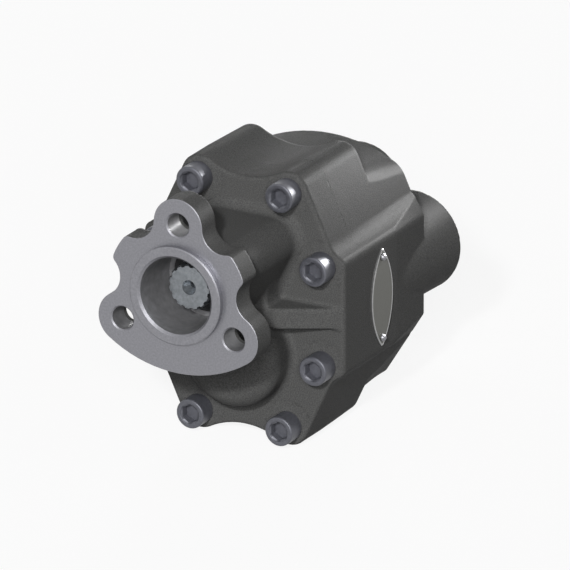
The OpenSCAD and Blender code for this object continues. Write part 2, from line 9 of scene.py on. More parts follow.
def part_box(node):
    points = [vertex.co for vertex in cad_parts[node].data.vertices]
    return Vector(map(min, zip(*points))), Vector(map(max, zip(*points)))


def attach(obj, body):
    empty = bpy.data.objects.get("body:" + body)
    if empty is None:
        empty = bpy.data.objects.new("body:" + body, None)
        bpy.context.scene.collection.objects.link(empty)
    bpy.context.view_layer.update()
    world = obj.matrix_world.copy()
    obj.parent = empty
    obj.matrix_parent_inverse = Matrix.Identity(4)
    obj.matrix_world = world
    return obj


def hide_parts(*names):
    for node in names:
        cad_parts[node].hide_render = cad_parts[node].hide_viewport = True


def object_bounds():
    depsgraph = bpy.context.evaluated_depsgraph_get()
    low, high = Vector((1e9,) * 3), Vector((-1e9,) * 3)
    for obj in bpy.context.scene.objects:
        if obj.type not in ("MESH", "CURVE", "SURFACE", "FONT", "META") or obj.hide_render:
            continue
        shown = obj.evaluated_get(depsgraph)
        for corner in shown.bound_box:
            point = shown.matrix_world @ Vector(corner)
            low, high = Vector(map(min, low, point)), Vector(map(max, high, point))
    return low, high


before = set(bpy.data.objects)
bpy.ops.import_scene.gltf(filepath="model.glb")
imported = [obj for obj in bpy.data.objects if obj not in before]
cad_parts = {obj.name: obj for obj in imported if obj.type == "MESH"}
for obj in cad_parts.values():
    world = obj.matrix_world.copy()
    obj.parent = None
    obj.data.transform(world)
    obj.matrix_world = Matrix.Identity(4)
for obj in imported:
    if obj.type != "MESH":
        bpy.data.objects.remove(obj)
cad_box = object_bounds()

# The camera looks at the pump from the right and from above, from so far away that its edges
# stay almost parallel, as they are in the photograph. The middle of its view lies to the right
# of the flange and a little above its middle. Lengths are in metres here, the sensor in mm.
TURN = radians(29.13)
TILT = radians(20.58)
FAR = 12.0
VIEW_WIDTH = 0.3289
VIEW_MIDDLE = (0.0619, 0.0056)
SENSOR = 36.0
right = Vector((cos(TURN), sin(TURN), 0))
back = Vector((sin(TURN) * cos(TILT), -cos(TURN) * cos(TILT), sin(TILT)))
up = back.cross(right)
look_at = VIEW_MIDDLE[0] * right + VIEW_MIDDLE[1] * up
camera_data = bpy.data.cameras.new("camera")
camera_data.sensor_width = SENSOR
camera_data.lens = SENSOR * FAR / VIEW_WIDTH
camera_data.clip_start = 0.05
camera_data.clip_end = FAR + 100
camera = bpy.data.objects.new("camera", camera_data)
camera.matrix_world = Matrix.Translation(look_at + FAR * back) @ Matrix(
    (right, up, back)).transposed().to_4x4()
bpy.context.scene.collection.objects.link(camera)
bpy.context.scene.camera = camera
bpy.context.scene.view_settings.view_transform = "Standard"


# The front cover is one iron casting with a neck, a bulge over the driven shaft and a rib to
# each side. Its mounting flange and pilot are milled bright, the rest keeps the cast skin.
# Its skin is the surface where a distance field is zero: in mm, negative inside the iron.
DROP = 29.25
SHAFTS_APART = 58.5
SCREW_RING = 52.1
SCREW_ANGLES = (55.5, 1.6)
COVER_FRONT = 78.0
COVER_BACK = 102.0
SIDE_CORNER = (60.7, 31.5, 6.0)
LOBE_R = 12.4
WAIST_R = 17.0
HOLLOW_TOP = 77.0
SLANT = 25.0
FLANGE_T = 17.0
FLANGE_PITCH_R = 42.5
FLANGE_HOLE_R = 7.0
POCKET_R = 23.4
PILOT_R = 30.0
PILOT_H = 4.0
PLATE_ROUND = 2.2
NECK = [(0, 0, 28.0), (21.0, 13.0, 15.0)]
NECK_ENDS = (5, 95)
BULGE_R = 31.5
BULGE_FRONT = 57.0
BULGE_ROUND = 9.0
WEB_R = 25.0
RIB_FRONT = 59.5
RIB_HALF_T = 6.4
RIB_REACH = 64.2
RIB_KNEE = 31.0
RIB_FALL = 18.5
SPOT_R = 15.3
SPOT_DEEP = 24.0
SCREW_HOLE_R = 6.5
DOWELS = [(40.8, 22.20), (-40.8, -80.70)]
DOWEL_R = 5.0
DOWEL_DEEP = 11.0
SEAL_R = 36.73
SEAL_HALF_W = 1.3
SEAL_DEEP = 2.0
FLANGE_CUT = 14.0
screws = [(side * SCREW_RING * cos(radians(a)), level * (DROP + SCREW_RING * sin(radians(a))) - DROP)
          for a in SCREW_ANGLES for side in (1, -1) for level in (1, -1)]


def arc(centre, radius, start, end, step=4.0):
    """Points centre + radius * (cos a, sin a) for angles a from start to end, in degrees."""
    a = np.radians(np.linspace(start, end, max(2, int(np.ceil(abs(end - start) / step)) + 1)))
    return np.stack([centre[0] + radius * np.cos(a), centre[1] + radius * np.sin(a)], 1)


def belt(circles):
    """The right half of a belt round circles (x, z, r): an arc on each, joined by tangents, from
    the middle plane x = 0 at the bottom to the same plane at the top."""
    parts, angle = [[(0, circles[0][1] - circles[0][2])]], -90.0
    for (x0, z0, r0), (x1, z1, r1) in zip(circles, circles[1:]):
        leave = degrees(atan2(z1 - z0, x1 - x0) - acos((r0 - r1) / hypot(x1 - x0, z1 - z0)))
        leave += 360 if leave < -180 else 0
        parts.append(arc((x0, z0), r0, angle, leave))
        angle = leave
    x, z, r = circles[-1]
    return np.concatenate(parts + [arc((x, z), r, angle, 90), [(0, z + r)]])


def body_quarter():
    """A quarter of the outline that cover and body share: side corner, waist, lobe, hollow.
    The waist and the hollow are arcs that touch the arcs on both sides of them."""
    lobe = np.array([SCREW_RING * cos(radians(SCREW_ANGLES[0])),
                     DROP + SCREW_RING * sin(radians(SCREW_ANGLES[0]))])
    rise = lobe[1] - HOLLOW_TOP + LOBE_R
    lift = (lobe[0] ** 2 - rise ** 2) / (2 * rise)
    hollow = np.array([0, lobe[1] + lift])
    outward = np.array([cos(radians(SLANT)), sin(radians(SLANT))])
    upward = np.array([-outward[1], outward[0]])
    corner = np.array(SIDE_CORNER[:2])
    across = outward @ lobe + LOBE_R + WAIST_R
    along = upward @ corner + sqrt(
        (SIDE_CORNER[2] + WAIST_R) ** 2 - (across - outward @ corner) ** 2)
    waist = across * outward + along * upward
    waist_angle = degrees(atan2(waist[1] - corner[1], waist[0] - corner[0]))
    hollow_angle = degrees(atan2(lift, lobe[0]))
    return np.concatenate([
        [(SIDE_CORNER[0] + SIDE_CORNER[2], 0)],
        arc(corner, SIDE_CORNER[2], 0, waist_angle, 10),
        arc(waist, WAIST_R, waist_angle + 180, SLANT + 180),
        arc(lobe, LOBE_R, SLANT, 180 - hollow_angle, 6),
        arc(hollow, hollow[1] - HOLLOW_TOP, -hollow_angle, -90, 3)])


def flange_half():
    """The right half of the flange's outline: arcs that touch, those with side -1 hollow in."""
    lobe_r, scallop_r, scallop_at, corner_r, mid_r, low = 16.0, 13.4, 52.0, 4.0, 46.0, 48.7
    corner_at = mid_r - corner_r
    swing = degrees(acos((FLANGE_PITCH_R ** 2 + scallop_at ** 2 - (lobe_r + scallop_r) ** 2)
                         / (2 * FLANGE_PITCH_R * scallop_at)))
    turn = degrees(acos((scallop_at ** 2 + corner_at ** 2 - (scallop_r + corner_r) ** 2)
                        / (2 * scallop_at * corner_at)))
    rise = low - lobe_r - FLANGE_PITCH_R / 2
    lift = ((FLANGE_PITCH_R * cos(radians(30))) ** 2 - rise ** 2) / (2 * rise)
    circles = [
        (0, lift - FLANGE_PITCH_R / 2, lift - FLANGE_PITCH_R / 2 + low, 1),
        (*arc((0, 0), FLANGE_PITCH_R, -30, -30)[0], lobe_r, 1),
        (*arc((0, 0), scallop_at, swing - 30, 0)[0], scallop_r, -1),
        (*arc((0, 0), corner_at, swing + turn - 30, 0)[0], corner_r, 1),
        (0, 0, mid_r, 1),
        (*arc((0, 0), corner_at, 90 - swing - turn, 0)[0], corner_r, 1),
        (*arc((0, 0), scallop_at, 90 - swing, 0)[0], scallop_r, -1),
        (0, FLANGE_PITCH_R, lobe_r, 1)]
    parts, start = [], -90.0
    for here, after in zip(circles, circles[1:] + [None]):
        end = 90.0
        if after:
            inside = here[3] == after[3] and here[2] < after[2]
            end = degrees(atan2(after[1] - here[1], after[0] - here[0])) + (180 if inside else 0)
        while here[3] * (end - start) < 0:
            end += 360 * here[3]
        while here[3] * (end - start) > 300:
            end -= 360 * here[3]
        parts.append(arc(here[:2], here[2], start, end))
        if after:
            inside = here[3] == after[3] and here[2] > after[2]
            start = degrees(atan2(here[1] - after[1], here[0] - after[0])) + (180 if inside else 0)
    return np.concatenate(parts)


def outline_distance(outline, x, z):
    """How far (x, z) lies from an open outline, negative on its inner side. The inner side is
    where a ray to the right crosses the outline, closed through a point just left of the
    middle plane, an odd number of times."""
    nearest = np.full(np.broadcast(x, z).shape, 1e9)
    inside = np.zeros(nearest.shape, bool)
    ring = np.concatenate([outline, [(-1.0, 0.0)]])
    for i, (a, b) in enumerate(zip(ring, np.roll(ring, -1, axis=0))):
        run, rise = b - a
        if i < len(outline) - 1 and hypot(run, rise) > 1e-6:
            t = np.clip(((x - a[0]) * run + (z - a[1]) * rise) / (run ** 2 + rise ** 2), 0, 1)
            nearest = np.minimum(nearest, (x - a[0] - t * run) ** 2 + (z - a[1] - t * rise) ** 2)
        if rise:
            inside ^= ((a[1] > z) != (b[1] > z)) & (x - a[0] < (z - a[1]) * run / rise)
    return np.where(inside, -1, 1) * np.sqrt(nearest)


def joined(a, b, fillet):
    """Both solids, with a round fillet in the corner between them."""
    return np.maximum(fillet, np.minimum(a, b)) - np.hypot(
        np.maximum(fillet - a, 0), np.maximum(fillet - b, 0))


def shared(a, b, rounding):
    """What lies in both solids, with its edge rounded."""
    return np.minimum(-rounding, np.maximum(a, b)) + np.hypot(
        np.maximum(rounding + a, 0), np.maximum(rounding + b, 0))


def rod(x, y, z, at, r, start, end):
    """A round bar along Y, from start to end, round the axis through at = (x, z)."""
    return np.maximum(np.hypot(x - at[0], z - at[1]) - r, np.maximum(start - y, y - end))


body_outline = body_quarter()
flange_outline = flange_half()
neck_outline = belt(NECK)
DRIVE_BORES = [(POCKET_R, 0, 32), (20.5, 31, 68), (21.8, 49.3, 51), (16, 67, 73), (17.5, 72, 110)]
DRIVEN_BORES = [(17.5, 72, 110), (16, 69, 73)]


def cover_field(x, y, z):
    """Distance to the front cover behind its milled end: plate, neck, bulge, web, ribs and
    flange with cast fillets, less the bores, the screws' seats and the groove of the seal."""
    plate = outline_distance(body_outline, np.abs(x), np.abs(z + DROP))
    plate = shared(plate, COVER_FRONT - y, PLATE_ROUND)
    neck = np.maximum(outline_distance(neck_outline, np.abs(x), z),
                      np.maximum(NECK_ENDS[0] - y, y - NECK_ENDS[1]))
    bulge = shared(np.hypot(x, z + SHAFTS_APART) - BULGE_R, BULGE_FRONT - y, BULGE_ROUND)
    low_web = np.clip(z, -SHAFTS_APART, 0)
    web = shared(np.hypot(x, z - low_web) - WEB_R, RIB_FRONT - y, 2.5)
    # 0.87 is the cosine of the rib's slope, which makes a distance of the height above it.
    fall = (np.abs(x) - RIB_KNEE) * RIB_FALL / (RIB_REACH - RIB_KNEE)
    slope = (RIB_FRONT - y + fall) * 0.87
    rib = np.maximum(np.maximum(RIB_FRONT - y, slope), np.abs(x) - RIB_REACH)
    rib = shared(np.abs(z + DROP) - RIB_HALF_T, rib, 1.6)
    cast = joined(plate, neck, 6.5)
    cast = joined(joined(cast, bulge, 4.5), web, 3)
    cast = joined(cast, rib, 2.5)
    from_screw = np.minimum.reduce([np.hypot(x - sx, z - sz) for sx, sz in screws])
    spots = np.maximum(COVER_FRONT - SPOT_DEEP - y, y - COVER_FRONT)
    cast = shared(cast, -np.maximum(from_screw - SPOT_R, spots), 0.6)
    flange = outline_distance(flange_outline, np.abs(x), z)
    cast = joined(cast, shared(flange, y - FLANGE_T, 1.8), 2.5)
    for r, start, end in DRIVE_BORES:
        cast = np.maximum(cast, -rod(x, y, z, (0, 0), r, start, end))
    for r, start, end in DRIVEN_BORES:
        cast = np.maximum(cast, -rod(x, y, z, (0, -SHAFTS_APART), r, start, end))
    for angle in (90, -30, 210):
        at = arc((0, 0), FLANGE_PITCH_R, angle, angle)[0]
        cast = np.maximum(cast, -rod(x, y, z, at, FLANGE_HOLE_R, 0, FLANGE_T + 1))
    cast = np.maximum(cast, -np.maximum(from_screw - SCREW_HOLE_R, COVER_FRONT - 8 - y))
    for at in DOWELS:
        cast = np.maximum(cast, -rod(x, y, z, at, DOWEL_R, COVER_BACK - DOWEL_DEEP, 110))
    eight = np.minimum(np.hypot(x, z), np.hypot(x, z + SHAFTS_APART)) - SEAL_R
    cast = np.maximum(cast, -np.maximum(np.abs(eight) - SEAL_HALF_W, COVER_BACK - SEAL_DEEP - y))
    return np.maximum(cast, np.maximum(FLANGE_CUT - y, y - COVER_BACK))


def skin(field, axes):
    """The surface where field is zero, as vertices and quads. Each grid cell that it passes
    through gets one vertex, where the planes that cross the cell's edges meet, so sharp edges
    stay sharp. Each grid edge that it crosses gets one quad, between the four cells round it."""
    grid = field(axes[0][:, None, None], axes[1][None, :, None], axes[2][None, None, :])
    inside = grid < 0
    cells = np.array(grid.shape)
    ends, flips, ways, starts = [], [], [], []
    for way in range(3):
        low = [slice(None)] * 3
        high = [slice(None)] * 3
        low[way], high[way] = slice(None, -1), slice(1, None)
        low, high = tuple(low), tuple(high)
        at = np.argwhere(inside[low] != inside[high])
        here = grid[low][tuple(at.T)]
        after = grid[high][tuple(at.T)]
        point = np.stack([axes[k][at[:, k]] for k in range(3)], 1)
        point[:, way] += here / (here - after) * (axes[way][at[:, way] + 1] - axes[way][at[:, way]])
        starts.append(at)
        ends.append(point)
        flips.append(here < 0)
        ways.append(np.full(len(at), way))
    at, point = np.concatenate(starts), np.concatenate(ends)
    flip, way = np.concatenate(flips), np.concatenate(ways)
    nudge = 0.01
    base = field(*point.T)
    slope = np.stack([field(*(point + nudge * np.eye(3)[k]).T) - base for k in range(3)], 1) / nudge
    normal = slope / np.linalg.norm(slope, axis=1, keepdims=True)
    point = point - normal * base[:, None]
    sides = np.array([[(0, 0, 0), (0, -1, 0), (0, -1, -1), (0, 0, -1)],
                      [(0, 0, 0), (0, 0, -1), (-1, 0, -1), (-1, 0, 0)],
                      [(0, 0, 0), (-1, 0, 0), (-1, -1, 0), (0, -1, 0)]])
    around = at[:, None, :] + sides[way]
    flat = (around[..., 0] * cells[1] + around[..., 1]) * cells[2] + around[..., 2]
    used, corner = np.unique(flat, return_inverse=True)
    corner = corner.reshape(-1)

    def total(values):
        """Sums values over the edges of each cell."""
        return np.bincount(corner, np.repeat(values, 4), len(used))

    count = total(np.ones(len(at)))
    middle = np.stack([total(point[:, k]) / count for k in range(3)], 1)
    square = np.stack([np.stack([total(normal[:, i] * normal[:, j]) for j in range(3)], 1)
                       for i in range(3)], 1)
    offset = np.sum(normal * point, axis=1)
    push = np.stack([total(normal[:, k] * offset) for k in range(3)], 1)
    push -= np.einsum("nij,nj->ni", square, middle)
    size, along = np.linalg.eigh(square)
    weight = np.where(size > 0.08 * size[:, 2:], 1 / np.maximum(size, 1e-9), 0)
    vertex = middle + np.einsum("nij,nj,nkj,nk->ni", along, weight, along, push)
    cell = np.stack(np.unravel_index(used, cells), 1)
    low = np.stack([axes[k][cell[:, k]] for k in range(3)], 1)
    high = np.stack([axes[k][cell[:, k] + 1] for k in range(3)], 1)
    slack = 0.05 * (high - low)
    vertex = np.clip(vertex, low - slack, high + slack)
    quad = corner.reshape(-1, 4)
    quad = np.where(flip[:, None], quad, quad[:, ::-1])
    return vertex, quad


def srgb(text):
    """A hex colour as Blender's linear red, green, blue and alpha."""
    c = np.array([int(text[i:i + 2], 16) for i in (1, 3, 5)]) / 255
    return (*np.where(c <= 0.04045, c / 12.92, ((c + 0.055) / 1.055) ** 2.4), 1.0)


def add(material, kind, inputs=None, **settings):
    """Adds a node to a material. Inputs are values or other nodes' sockets, by name or number."""
    node = material.node_tree.nodes.new(kind)
    for name, value in settings.items():
        setattr(node, name, value)
    for name, value in (inputs or {}).items():
        if isinstance(value, bpy.types.NodeSocket):
            material.node_tree.links.new(value, node.inputs[name])
        else:
            node.inputs[name].default_value = value
    return node


def blank(name):
    """A new material with a Principled shader and an output. Returns both nodes' owner."""
    material = bpy.data.materials.new(name)
    material.use_nodes = True
    material.node_tree.nodes.clear()
    shader = add(material, "ShaderNodeBsdfPrincipled")
    add(material, "ShaderNodeOutputMaterial", {"Surface": shader.outputs[0]})
    return material, shader


def within(node, vertices):
    """Places in mm, brought inside the box of the CAD node that they stand for."""
    low, high = (np.array(corner) * 1000 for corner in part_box(node))
    return np.clip(vertices, low, high)


def build(name, vertices, faces, materials, picks=None, sharp=32):
    """Makes a mesh object from places in mm, smooth apart from edges sharper than an angle."""
    mesh = bpy.data.meshes.new(name)
    faces = faces.tolist() if isinstance(faces, np.ndarray) else faces
    mesh.from_pydata((np.asarray(vertices) * 0.001).tolist(), [], faces)
    for material in materials:
        mesh.materials.append(material)
    if picks is not None:
        mesh.polygons.foreach_set("material_index", np.asarray(picks, np.int32))
    mesh.shade_smooth()
    mesh.set_sharp_from_angle(angle=radians(sharp))
    mesh.validate()
    piece = bpy.data.objects.new(name, mesh)
    bpy.context.scene.collection.objects.link(piece)
    return piece


def cast_iron():
    """Grey iron from a green-sand mould under a thin dark primer: sand grain of about 0.7 mm, drawn
    that coarse so that it shows, and a faint swell of about 11 mm. It has hardly any gloss."""
    material, shader = blank("grey_iron_sand_cast")
    place = add(material, "ShaderNodeTexCoord").outputs["Object"]
    grain = add(material, "ShaderNodeTexNoise", {"Vector": place, "Scale": 1500.0, "Detail": 2.0,
                                                 "Roughness": 0.55})
    swell = add(material, "ShaderNodeTexNoise", {"Vector": place, "Scale": 90.0, "Detail": 2.0})
    colour = add(material, "ShaderNodeValToRGB", {"Fac": grain.outputs["Fac"]})
    colour.color_ramp.elements[0].position = 0.32
    colour.color_ramp.elements[0].color = srgb("#464646")
    colour.color_ramp.elements[1].position = 0.68
    colour.color_ramp.elements[1].color = srgb("#5d5d5c")
    rough = add(material, "ShaderNodeMapRange", {0: grain.outputs["Fac"], 1: 0.3, 2: 0.7,
                                                 3: 0.44, 4: 0.56})
    low = add(material, "ShaderNodeBump", {"Height": swell.outputs["Fac"], "Distance": 0.0004,
                                           "Strength": 0.3})
    fine = add(material, "ShaderNodeBump", {"Height": grain.outputs["Fac"], "Distance": 0.0003,
                                            "Strength": 0.5, "Normal": low.outputs[0]})
    for name, socket in (("Base Color", colour.outputs[0]), ("Roughness", rough.outputs[0]),
                         ("Normal", fine.outputs[0])):
        material.node_tree.links.new(socket, shader.inputs[name])
    shader.inputs["Specular IOR Level"].default_value = 0.01
    return material


def milled_iron():
    """The same iron, milled: bright grey with graphite specks and faint tool arcs 1.8 mm apart,
    which is coarser than real ones, so that they show."""
    material, shader = blank("grey_iron_face_milled")
    place = add(material, "ShaderNodeTexCoord").outputs["Object"]
    arcs = add(material, "ShaderNodeTexWave", {"Vector": place, "Scale": 170.0, "Distortion": 1.5,
                                               "Detail": 2.0, "Detail Scale": 2.0},
               wave_type="RINGS", rings_direction="Y")
    specks = add(material, "ShaderNodeTexNoise", {"Vector": place, "Scale": 900.0, "Detail": 3.0})
    colour = add(material, "ShaderNodeValToRGB", {"Fac": specks.outputs["Fac"]})
    colour.color_ramp.elements[0].position = 0.3
    colour.color_ramp.elements[0].color = srgb("#828287")
    colour.color_ramp.elements[1].position = 0.7
    colour.color_ramp.elements[1].color = srgb("#8f8f94")
    rough = add(material, "ShaderNodeMapRange", {0: arcs.outputs["Fac"], 3: 0.38, 4: 0.46})
    bump = add(material, "ShaderNodeBump", {"Height": arcs.outputs["Fac"], "Distance": 0.00002,
                                            "Strength": 0.2})
    for name, socket in (("Base Color", colour.outputs[0]), ("Roughness", rough.outputs[0]),
                         ("Normal", bump.outputs[0])):
        material.node_tree.links.new(socket, shader.inputs[name])
    shader.inputs["Metallic"].default_value = 0.85
    return material


def bored_iron():
    """Iron cut by a boring bar: smooth mid grey, with feed marks in its gloss. They are about 1 mm
    apart, which is coarser than real ones, so that they show."""
    material, shader = blank("grey_iron_bored")
    place = add(material, "ShaderNodeTexCoord").outputs["Object"]
    marks = add(material, "ShaderNodeTexWave", {"Vector": place, "Scale": 320.0, "Distortion": 1.0,
                                                "Detail": 2.0}, bands_direction="Y")
    cloud = add(material, "ShaderNodeTexNoise", {"Vector": place, "Scale": 250.0, "Detail": 3.0})
    colour = add(material, "ShaderNodeValToRGB", {"Fac": cloud.outputs["Fac"]})
    colour.color_ramp.elements[0].position = 0.3
    colour.color_ramp.elements[0].color = srgb("#707072")
    colour.color_ramp.elements[1].position = 0.7
    colour.color_ramp.elements[1].color = srgb("#828284")
    rough = add(material, "ShaderNodeMapRange", {0: marks.outputs["Fac"], 3: 0.36, 4: 0.48})
    for name, socket in (("Base Color", colour.outputs[0]), ("Roughness", rough.outputs[0])):
        material.node_tree.links.new(socket, shader.inputs[name])
    shader.inputs["Metallic"].default_value = 0.3
    return material


sand_cast = cast_iron()
milled = milled_iron()
bored = bored_iron()


def loop_normals(loop):
    """The outward direction at each point of a closed loop that runs anticlockwise: the way
    from the point before it to the point after it, turned right."""
    way = np.roll(loop, -1, axis=0) - np.roll(loop, 1, axis=0)
    way /= np.linalg.norm(way, axis=1, keepdims=True)
    return np.stack([way[:, 1], -way[:, 0]], 1)


def swept(loop, profile):
    """Rings of a profile carried round a loop: loop minus inset times its outward direction,
    at y, for each (inset, y). Returns points and the quads between the rings."""
    outward = loop_normals(loop)
    rings = [np.insert(loop - inset * outward, 1, y, axis=1) for inset, y in profile]
    n, m = len(profile), len(loop)
    i, j = np.meshgrid(np.arange(n - 1), np.arange(m), indexing="ij")
    after = (j + 1) % m
    quads = np.stack([i * m + j, i * m + after, (i + 1) * m + after, (i + 1) * m + j], 2)
    return np.concatenate(rings), quads.reshape(-1, 4)


def flat_sheet(outer, holes, y, inset=0.0):
    """A flat sheet at y inside a loop, which runs inset from the flange's outline, and outside
    round holes (x, z, r), as triangles: of the triangulation of all the loops, those whose middle
    is in the sheet. The hair's breadths leave out the triangles between an arc and its chords."""
    loops = [outer] + [circle_loop(h) for h in holes]
    edges, start = [], 0
    for loop in loops:
        k = np.arange(len(loop))
        edges += (np.stack([k, (k + 1) % len(loop)], 1) + start).tolist()
        start += len(loop)
    flat = [Vector(v) for v in np.concatenate(loops)]
    points, _, faces, *_ = geometry.delaunay_2d_cdt(flat, edges, [], 0, 1e-7)
    points = np.array([tuple(v) for v in points])
    faces = np.array(faces)
    middle = points[faces].mean(axis=1)
    kept = outline_distance(flange_outline, np.abs(middle[:, 0]), middle[:, 1]) < 0.012 - inset
    for hole in holes:
        inner = hole[2] * (cos(pi / len(circle_loop(hole))) - 0.0002)
        kept &= np.hypot(middle[:, 0] - hole[0], middle[:, 1] - hole[1]) > inner
    return np.insert(points, 1, y, axis=1), faces[kept]


def circle_loop(circle):
    """Points round a circle (x, z, r), anticlockwise, closer together on a large one."""
    x, z, r = circle
    return arc((x, z), r, 0, 360, 360 / (48 if r < 10 else 120))[:-1]


def closed_piece(name, parts, materials):
    """Joins surfaces of points, faces and a material number, merges their shared edges and
    turns all faces outwards."""
    mesh = bmesh.new()
    for points, faces, pick in parts:
        made = [mesh.verts.new(v) for v in points * 0.001]
        for face in faces:
            mesh.faces.new([made[k] for k in face]).material_index = pick
    bmesh.ops.remove_doubles(mesh, verts=mesh.verts, dist=2e-6)
    bmesh.ops.recalc_face_normals(mesh, faces=mesh.faces)
    data = bpy.data.meshes.new(name)
    mesh.to_mesh(data)
    mesh.free()
    for material in materials:
        data.materials.append(material)
    data.shade_smooth()
    data.set_sharp_from_angle(angle=radians(30))
    for face in data.polygons:
        face.use_smooth = abs(face.normal.y) < 0.9999
    piece = bpy.data.objects.new(name, data)
    bpy.context.scene.collection.objects.link(piece)
    return piece


CAST, MILLED, BORED = 0, 1, 2
CHAMFER = 0.35
HOLE_CHAMFER = 0.8
PILOT_CHAMFER = 0.7
MOUTH_CHAMFER = 1.4
flange_loop = np.concatenate([flange_outline[:-1], (flange_outline * (-1, 1))[::-1][:-1]])
gaps = np.linalg.norm(flange_loop - np.roll(flange_loop, 1, axis=0), axis=1)
flange_loop = flange_loop[gaps > 0.01]
bolt_holes = [tuple(arc((0, 0), FLANGE_PITCH_R, a, a)[0]) for a in (90, -30, 210)]
parts = []
wall_points, wall_quads = swept(flange_loop, [(CHAMFER, 0), (0, CHAMFER), (0, FLANGE_CUT)])
wide = len(flange_loop)
parts.append((wall_points, wall_quads[:wide], MILLED))
parts.append((wall_points, wall_quads[wide:], CAST))
front_loop = wall_points[:wide, ::2]
back_loop = wall_points[-wide:, ::2]
parts.append((*flat_sheet(front_loop, [(0, 0, PILOT_R)] + [
    (*at, FLANGE_HOLE_R + HOLE_CHAMFER) for at in bolt_holes], 0.0, CHAMFER), MILLED))
parts.append((*flat_sheet(back_loop, [(0, 0, POCKET_R)] + [
    (*at, FLANGE_HOLE_R) for at in bolt_holes], FLANGE_CUT), MILLED))
for at in bolt_holes:
    hole_loop = circle_loop((*at, FLANGE_HOLE_R))
    edge, wall = swept(hole_loop, [(-HOLE_CHAMFER, 0), (0, HOLE_CHAMFER), (0, FLANGE_CUT)])
    parts.append((edge, wall[:len(hole_loop)], MILLED))
    parts.append((edge, wall[len(hole_loop):], BORED))
pilot_loop = circle_loop((0, 0, PILOT_R))
pilot_points, pilot_quads = swept(pilot_loop, [
    (0, 0), (0, PILOT_CHAMFER - PILOT_H), (PILOT_CHAMFER, -PILOT_H),
    (PILOT_R - POCKET_R - MOUTH_CHAMFER, -PILOT_H), (PILOT_R - POCKET_R, MOUTH_CHAMFER - PILOT_H),
    (PILOT_R - POCKET_R, FLANGE_CUT)])
turned = 4 * len(pilot_loop)
parts.append((pilot_points, pilot_quads[:turned], MILLED))
parts.append((pilot_points, pilot_quads[turned:], BORED))
flange_end = closed_piece("front_cover_milled_end", parts, [sand_cast, milled, bored])
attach(flange_end, "pump_body")

# The grids reach a little past the castings. HAIR tells a flat machined face from its edges.
CELL = 1.25
HAIR = 0.05
across_axis = np.arange(-70.0, 72, CELL)
level_axis = np.arange(-115.1, 61, CELL)
cover_axes = [across_axis, np.arange(13.1, 105, CELL), level_axis]
vertices, quads = skin(cover_field, cover_axes)
middle = vertices[quads].mean(axis=1)
from_drive = np.hypot(middle[:, 0], middle[:, 2])
from_driven = np.hypot(middle[:, 0], middle[:, 2] + SHAFTS_APART)
bore = (from_drive < POCKET_R + 0.2) | ((from_driven < DRIVEN_BORES[0][0] + 0.2) & (middle[:, 1] > 65))
joint = vertices[quads][:, :, 1].min(axis=1) > COVER_BACK - HAIR
picks = np.where(joint, MILLED, np.where(bore, BORED, CAST))
cover = build("front_cover_casting", within("front_cover", vertices), quads,
              [sand_cast, milled, bored], picks)
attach(cover, "pump_body")
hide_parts("front_cover")

# The pump body is one iron casting: the length with the screw lobes, whose rear edge is
# rounded, the tapered block behind it, two port bosses and two bosses over the shafts' ends.
LOBED_END = 147.0
LOBED_ROUND = 6.0
BLOCK_END = 182.0
BOSS_ENDS = (216.5, 222.0)
PORT_X = 37.6
PORT_DRAFT = 0.034
SLANT_DRAFT = 0.028
DRAFT_BEGINS, DRAFT_FULL = 36.0, 44.0
BLOCK_START = 141.0
SHOULDER_R = 16.0
SHOULDER_AT = 60.0
CROWN = (0, -25.5, 96.0)
REAR_REACH = 80.0
REAR_TURN = radians(64)
PORT_R = 30.6
PORT_HOLE_R = 16.6
PORT_DEEP = 22.0
PORT_MOUTH_R = 17.8
SHAFT_BOSS_R = 27.3
SHAFT_BOSS_LIFT = 25.0
GEAR_BORES = [(33.83, 147.16), (17.5, 177.16), (16, 182.16)]
PASSAGE_X = 34.0
PASSAGE_R = 11.0
SLOT_HALF_H = 9.0
PASSAGE_START = 109.1
PASSAGE_END = 196.0
SLOT_END = 140.1
THREAD_R = 6.0
THREAD_END = 138.0
PIN_END = 114.0
slant = np.array([cos(radians(SLANT)), sin(radians(SLANT))])
slant_reach = slant @ (SCREW_RING * cos(radians(SCREW_ANGLES[0])),
                       DROP + SCREW_RING * sin(radians(SCREW_ANGLES[0]))) + LOBE_R
slant_reach -= SLANT_DRAFT * (BLOCK_START - COVER_BACK)
shoulder = np.array([(slant_reach - slant[1] * SHOULDER_AT) / slant[0], SHOULDER_AT]) - SHOULDER_R * slant
block_front = belt([(37.5, -64.5, 6.0), (60.7, -31.5, 6.0), (60.7, 31.5, 6.0),
                    (*shoulder, SHOULDER_R), CROWN])
block_rear = belt([(33.0, -66.5, 6.0), (58.4, -29.5, 4.0), (58.4, 29.5, 4.0),
                   (REAR_REACH * cos(REAR_TURN), REAR_REACH * sin(REAR_TURN) + CROWN[1], SHOULDER_R), CROWN])


